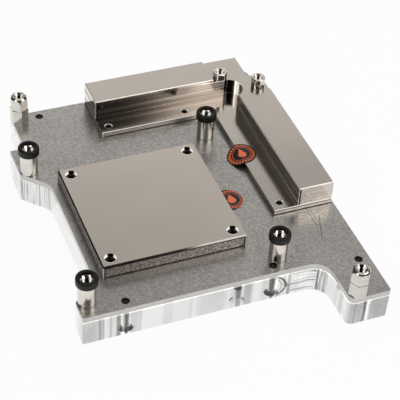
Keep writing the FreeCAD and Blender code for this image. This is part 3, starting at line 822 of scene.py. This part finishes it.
class StageSettings(bpy.types.PropertyGroup):
    """Camera and surroundings"""
    lens: FloatProperty(
        name="Lens", description="Focal length of the camera, in millimetres for a 36 mm sensor",
        default=122.456, min=20.0, max=300.0)
    world_level: FloatProperty(
        name="Surroundings", description="Strength of the even light from all round",
        default=0.08, min=0.0, max=2.0)
    floor_white: FloatProperty(
        name="Floor white",
        description="Share of plain white that a direct view of the floor shows",
        default=0.95, min=0.0, max=1.0, subtype="FACTOR")


def look():
    return bpy.context.scene.cold_plate_look


def dress(name, material):
    """Gives a CAD node its finish, its shape left as it is."""
    slots = NODES[name].material_slots
    if not slots:
        raise RuntimeError("no material slot on " + name)
    for slot in slots:
        slot.material = material


# Operators

class COLDPLATE_OT_clear_body(bpy.types.Operator):
    """Gives the clear body its polished plastic"""
    bl_idname = "coldplate.clear_body"
    bl_label = "Clear body"

    def execute(self, context):
        dress("clear_body", clear_acrylic(look()))
        return {"FINISHED"}


class COLDPLATE_OT_plates(bpy.types.Operator):
    """Finishes the base plate and the jet insert"""
    bl_idname = "coldplate.plates"
    bl_label = "Base plate and jet insert"

    def execute(self, context):
        dress("base_plate", blasted_plate(look()))
        dress("jet_plate", jet_steel())
        return {"FINISHED"}


class COLDPLATE_OT_cold_plate(bpy.types.Operator):
    """Finishes the processor cold plate"""
    bl_idname = "coldplate.cold_plate"
    bl_label = "Processor cold plate"

    def execute(self, context):
        dress("cpu_cold_plate", lapped_nickel(look()))
        return {"FINISHED"}


class COLDPLATE_OT_block(bpy.types.Operator):
    """Finishes the regulator block"""
    bl_idname = "coldplate.block"
    bl_label = "Regulator block"

    def execute(self, context):
        dress("regulator_block", milled_nickel(look()))
        return {"FINISHED"}


class COLDPLATE_OT_posts(bpy.types.Operator):
    """Turns the four socket posts, with their threaded bores, in place of the plain ones"""
    bl_idname = "coldplate.posts"
    bl_label = "Socket posts"

    def execute(self, context):
        sink = look().post_sink
        stud, neck, bore, ease = 2.0 * MM, 2.3 * MM, 1.55 * MM, 0.15 * MM
        mouths = [(centre(node), 1.95 * MM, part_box(node)[1].z - sink)
                  for node in ("post_" + corner for corner in CORNERS)]
        finish = turned_nickel("post_nickel", (0.6, 0.57, 0.525), (0.78, 0.75, 0.7), 0.09, mouths)
        for corner in CORNERS:
            node = "post_" + corner
            low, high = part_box(node)
            outer = (high.x - low.x) / 2
            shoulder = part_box("collar_" + corner)[0].z
            tip = high.z - sink
            rings = [(low.z, stud), (PLATE_TOP, stud), (PLATE_TOP, outer - ease),
                     (PLATE_TOP + ease, outer - ease), (PLATE_TOP + ease * 1.4, outer),
                     (shoulder - ease, outer), (shoulder, outer - ease), (shoulder, neck),
                     (tip, neck), (tip - 0.7 * MM, bore + 0.15 * MM)]
            rings += bore_rings(tip - 0.8 * MM, high.z - 9.0 * MM, bore, 0.7 * MM, 0.28 * MM)
            bm = bmesh.new()
            turned(bm, centre(node), rings, 64)
            add_piece("turned_" + node, bm, finish, (node,), 35.0)
        return {"FINISHED"}


class COLDPLATE_OT_collars(bpy.types.Operator):
    """Builds the black collars with a rounded rim, in place of the plain ones"""
    bl_idname = "coldplate.collars"
    bl_label = "Collars"

    def execute(self, context):
        finish = moulded_black()
        size = look().collar_round
        inner, mouth, small, ease = 2.31 * MM, 2.75 * MM, 0.2 * MM, 0.15 * MM
        for corner in CORNERS:
            node = "collar_" + corner
            low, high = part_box(node)
            outer = (high.x - low.x) / 2
            rings = [(low.z, inner), (low.z, outer - ease), (low.z + ease, outer)]
            rings += arc(0, 90, outer - size, high.z - size, size, 7)
            rings += arc(90, 180, mouth + small, high.z - small, small, 4)
            rings += [(high.z - 0.9 * MM, inner + ease), (high.z - 1.3 * MM, inner)]
            bm = bmesh.new()
            turned(bm, centre(node), rings, 64, closed=True)
            add_piece("shaped_" + node, bm, finish, (node,))
        return {"FINISHED"}


class COLDPLATE_OT_standoffs(bpy.types.Operator):
    """Finishes the hexagonal standoffs and turns the two round ones with threaded bores"""
    bl_idname = "coldplate.standoffs"
    bl_label = "Standoffs"

    def execute(self, context):
        uppers, rounds = ("hex_upper_left", "hex_upper_right"), ("standoff_short", "standoff_tall")
        mouths = [(centre(name), 2.0 * MM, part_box(name)[1].z) for name in uppers + rounds]
        finish = turned_nickel(
            "standoff_nickel", (0.55, 0.525, 0.49), (0.72, 0.69, 0.65), 0.06, mouths)
        for name in ("hex_lower_left", "hex_lower_right") + uppers:
            dress(name, finish)
        stud, bore, ease = 1.5 * MM, 1.25 * MM, 0.2 * MM
        for node in rounds:
            low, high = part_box(node)
            outer = (high.x - low.x) / 2
            foot = low.z + 2.8 * MM
            rings = [(low.z, stud), (foot, stud), (foot, outer - ease), (foot + ease, outer),
                     (high.z - ease, outer), (high.z, outer - ease), (high.z, bore + 0.75 * MM),
                     (high.z - 0.7 * MM, bore)]
            rings += bore_rings(high.z - 0.75 * MM, high.z - 2.0 * MM, bore, 0.5 * MM, 0.2 * MM)
            bm = bmesh.new()
            turned(bm, centre(node), rings, 56)
            add_piece("turned_" + node, bm, finish, (node,), 35.0)
        return {"FINISHED"}


class COLDPLATE_OT_body_screws(bpy.types.Operator):
    """Builds the screws seen through the clear body, with key recess and bright thread"""
    bl_idname = "coldplate.body_screws"
    bl_label = "Screws of the clear body"

    def execute(self, context):
        black, bright, pale = black_oxide(), bright_steel(), clear_nylon()
        pitch = look().thread_pitch
        head, shank = 2.9 * MM, 1.5 * MM
        key, key_mouth = hexed(2.0 * MM), hexed(2.15 * MM)
        for node in BODY_SCREWS:
            low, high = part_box(node)
            seat = low.z + head - shank
            rings = [(low.z + 1.2 * MM, key), (low.z + 0.001 * MM, key_mouth),
                     (low.z, head - 0.05 * MM), (low.z + 0.1 * MM, head), (seat, shank)]
            rings += thread_rings(seat + 0.2 * MM, high.z - 0.3 * MM, shank, pitch, 0.28 * MM)
            rings += [(high.z, shank - 0.45 * MM)]
            bm = bmesh.new()
            turned(bm, centre(node), rings, 24)
            short = node == "trim_screw"
            piece = add_piece(
                "threaded_" + node, bm, pale if short else black, (node,), 30.0)
            if short:
                continue
            piece.data.materials.append(bright)
            for polygon in piece.data.polygons:
                if seat < polygon.center.z < PLATE_TOP - 2.5 * MM:
                    polygon.material_index = 1
        return {"FINISHED"}


class COLDPLATE_OT_top_screws(bpy.types.Operator):
    """Builds the cold plate's countersunk screws with key recesses and finishes the flange's"""
    bl_idname = "coldplate.top_screws"
    bl_label = "Screws on top"

    def execute(self, context):
        finish = black_oxide()
        head, shank = 2.2 * MM, 1.25 * MM
        key, key_mouth = hexed(2.0 * MM), hexed(2.3 * MM)
        for corner in CORNERS:
            node = "cold_screw_" + corner
            low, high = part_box(node)
            rings = [(low.z, shank - 0.3 * MM), (low.z + 0.3 * MM, shank)]
            rings += thread_rings(low.z + 0.4 * MM, high.z - 1.6 * MM, shank, 0.45 * MM, 0.2 * MM)
            rings += [(high.z - (head - shank), shank), (high.z - 0.12 * MM, head),
                      (high.z, head - 0.15 * MM), (high.z, key_mouth),
                      (high.z - 0.15 * MM, key), (high.z - 1.2 * MM, key)]
            bm = bmesh.new()
            turned(bm, centre(node), rings, 36)
            add_piece("keyed_" + node, bm, finish, (node,), 30.0)
        for name in FLANGE_SCREWS:
            dress(name, finish)
        return {"FINISHED"}


class COLDPLATE_OT_seals(bpy.types.Operator):
    """Finishes the three seals"""
    bl_idname = "coldplate.seals"
    bl_label = "Seals"

    def execute(self, context):
        black = dull_coat("seal_rubber", (0.014, 0.014, 0.014), (0.034, 0.033, 0.032))
        pale = dull_coat("seal_silicone", (0.5, 0.5, 0.49), (0.66, 0.66, 0.65))
        for name in ("cold_plate_seal", "regulator_seal"):
            dress(name, black)
        dress("body_seal", pale)
        return {"FINISHED"}


class COLDPLATE_OT_labels(bpy.types.Operator):
    """Finishes the two round labels with plain marks"""
    bl_idname = "coldplate.labels"
    bl_label = "Labels"

    def execute(self, context):
        for name in ("label_on_flange", "label_on_plate"):
            dress(name, label_film(look(), centre(name)))
        return {"FINISHED"}


class COLDPLATE_OT_scratches(bpy.types.Operator):
    """Lays fine scratches on the base plate before the right bar"""
    bl_idname = "coldplate.scratches"
    bl_label = "Scratches"

    def execute(self, context):
        finish = dull_coat("scratch_dark", (0.012, 0.011, 0.01), (0.03, 0.028, 0.026))
        bm = bmesh.new()
        half = look().scratch_width / 2
        low, high = PLATE_TOP - 0.005 * MM, PLATE_TOP + 0.012 * MM
        for run in SCRATCHES:
            points = [spot(x, y) for x, y in run]
            count = len(points)
            left, right, crest = [], [], []
            for i, point in enumerate(points):
                along = (points[min(i + 1, count - 1)] - points[max(i - 1, 0)]).normalized()
                side = Vector((-along.y, along.x, 0))
                width = half * (0.35 if i in (0, count - 1) else 1.0)
                x, y, sx, sy = point.x, point.y, side.x * width, side.y * width
                left.append(bm.verts.new((x + sx, y + sy, low)))
                right.append(bm.verts.new((x - sx, y - sy, low)))
                crest.append(bm.verts.new((x, y, high)))
            for i in range(count - 1):
                bm.faces.new((left[i], crest[i], crest[i + 1], left[i + 1]))
                bm.faces.new((crest[i], right[i], right[i + 1], crest[i + 1]))
                bm.faces.new((right[i], left[i], left[i + 1], right[i + 1]))
            bm.faces.new((left[0], right[0], crest[0]))
            bm.faces.new((left[-1], crest[-1], right[-1]))
        add_piece("plate_scratches", bm, finish)
        return {"FINISHED"}


class COLDPLATE_OT_stage(bpy.types.Operator):
    """Sets the floor, the soft lights and the camera"""
    bl_idname = "coldplate.stage"
    bl_label = "Stage"

    def execute(self, context):
        stage = context.scene.cold_plate_stage
        mesh = bpy.data.meshes.new("floor")
        corners = [(-FLOOR, -FLOOR), (FLOOR, -FLOOR), (FLOOR, FLOOR), (-FLOOR, FLOOR)]
        mesh.from_pydata([(x, y, -0.05 * MM) for x, y in corners], [], [(0, 1, 2, 3)])
        floor = bpy.data.objects.new("floor", mesh)
        context.scene.collection.objects.link(floor)
        f = Finish("pale_floor")
        path = f.put("ShaderNodeLightPath").socket.node
        seen = strongest(Value(f, path.outputs["Is %s Ray" % kind])
                         for kind in ("Camera", "Glossy", "Transmission"))
        matt = f.put("ShaderNodeBsdfDiffuse", {}, {"Color": (0.95, 0.95, 0.95)})
        white = f.put("ShaderNodeEmission", {}, {"Color": (1.0, 1.0, 1.0), "Strength": 1.0})
        mixed = f.put("ShaderNodeMixShader", {}, {0: seen * stage.floor_white, 1: matt, 2: white})
        # clear from below, so that the underside can be looked at
        below = f.put("ShaderNodeNewGeometry", out="Backfacing")
        clear = f.put("ShaderNodeBsdfTransparent")
        f.ended(f.put("ShaderNodeMixShader", {}, {0: below, 1: mixed, 2: clear}))
        mesh.materials.append(f.material)

        world = bpy.data.worlds.new("studio")
        context.scene.world = world
        world.use_nodes = True
        back = world.node_tree.nodes["Background"]
        back.inputs["Color"].default_value = (1.0, 0.93, 0.87, 1.0)
        back.inputs["Strength"].default_value = stage.world_level

        for name, place, width, height, radiance, colour in LAMPS:
            data = bpy.data.lights.new(name, "AREA")
            data.shape = "RECTANGLE"
            data.size = width
            data.size_y = height
            data.energy = radiance * math.pi * width * height
            data.color = colour
            lamp = bpy.data.objects.new(name, data)
            context.scene.collection.objects.link(lamp)
            lamp.location = place
            lamp.rotation_euler = (-Vector(place)).to_track_quat("-Z", "Y").to_euler()

        data = bpy.data.cameras.new("camera")
        data.sensor_fit = "HORIZONTAL"
        data.sensor_width = 36.0
        data.lens = stage.lens
        data.clip_start = 0.01
        camera = bpy.data.objects.new("camera", data)
        context.scene.collection.objects.link(camera)
        right, up = Vector(CAMERA_RIGHT).normalized(), Vector(CAMERA_UP).normalized()
        matrix = Matrix((right, up, right.cross(up).normalized())).transposed().to_4x4()
        matrix.translation = spot(*CAMERA_SPOT)
        camera.matrix_world = matrix
        context.scene.camera = camera
        context.scene.view_settings.view_transform = "Standard"
        return {"FINISHED"}


class COLDPLATE_PT_panel(bpy.types.Panel):
    bl_idname = "COLDPLATE_PT_panel"
    bl_label = "Cold Plate"
    bl_space_type = "VIEW_3D"
    bl_region_type = "UI"
    bl_category = "Cold Plate"

    def draw(self, context):
        column = self.layout.column()
        for group in (context.scene.cold_plate_look, context.scene.cold_plate_stage):
            for name in group.__annotations__:
                column.prop(group, name)
            column.separator()
        for operator in STEPS:
            column.operator(operator.bl_idname)


STEPS = (
    COLDPLATE_OT_clear_body,
    COLDPLATE_OT_plates,
    COLDPLATE_OT_cold_plate,
    COLDPLATE_OT_block,
    COLDPLATE_OT_posts,
    COLDPLATE_OT_collars,
    COLDPLATE_OT_standoffs,
    COLDPLATE_OT_body_screws,
    COLDPLATE_OT_top_screws,
    COLDPLATE_OT_seals,
    COLDPLATE_OT_labels,
    COLDPLATE_OT_scratches,
    COLDPLATE_OT_stage,
)
CLASSES = (ColdPlateSettings, StageSettings) + STEPS + (COLDPLATE_PT_panel,)


def register():
    for cls in CLASSES:
        bpy.utils.register_class(cls)
    bpy.types.Scene.cold_plate_look = PointerProperty(type=ColdPlateSettings)
    bpy.types.Scene.cold_plate_stage = PointerProperty(type=StageSettings)


def unregister():
    del bpy.types.Scene.cold_plate_stage
    del bpy.types.Scene.cold_plate_look
    for cls in reversed(CLASSES):
        bpy.utils.unregister_class(cls)


def main():
    register()
    for operator in STEPS:
        group, name = operator.bl_idname.split(".")
        getattr(getattr(bpy.ops, group), name)()
    bpy.context.view_layer.update()


if __name__ == "__main__":
    main()
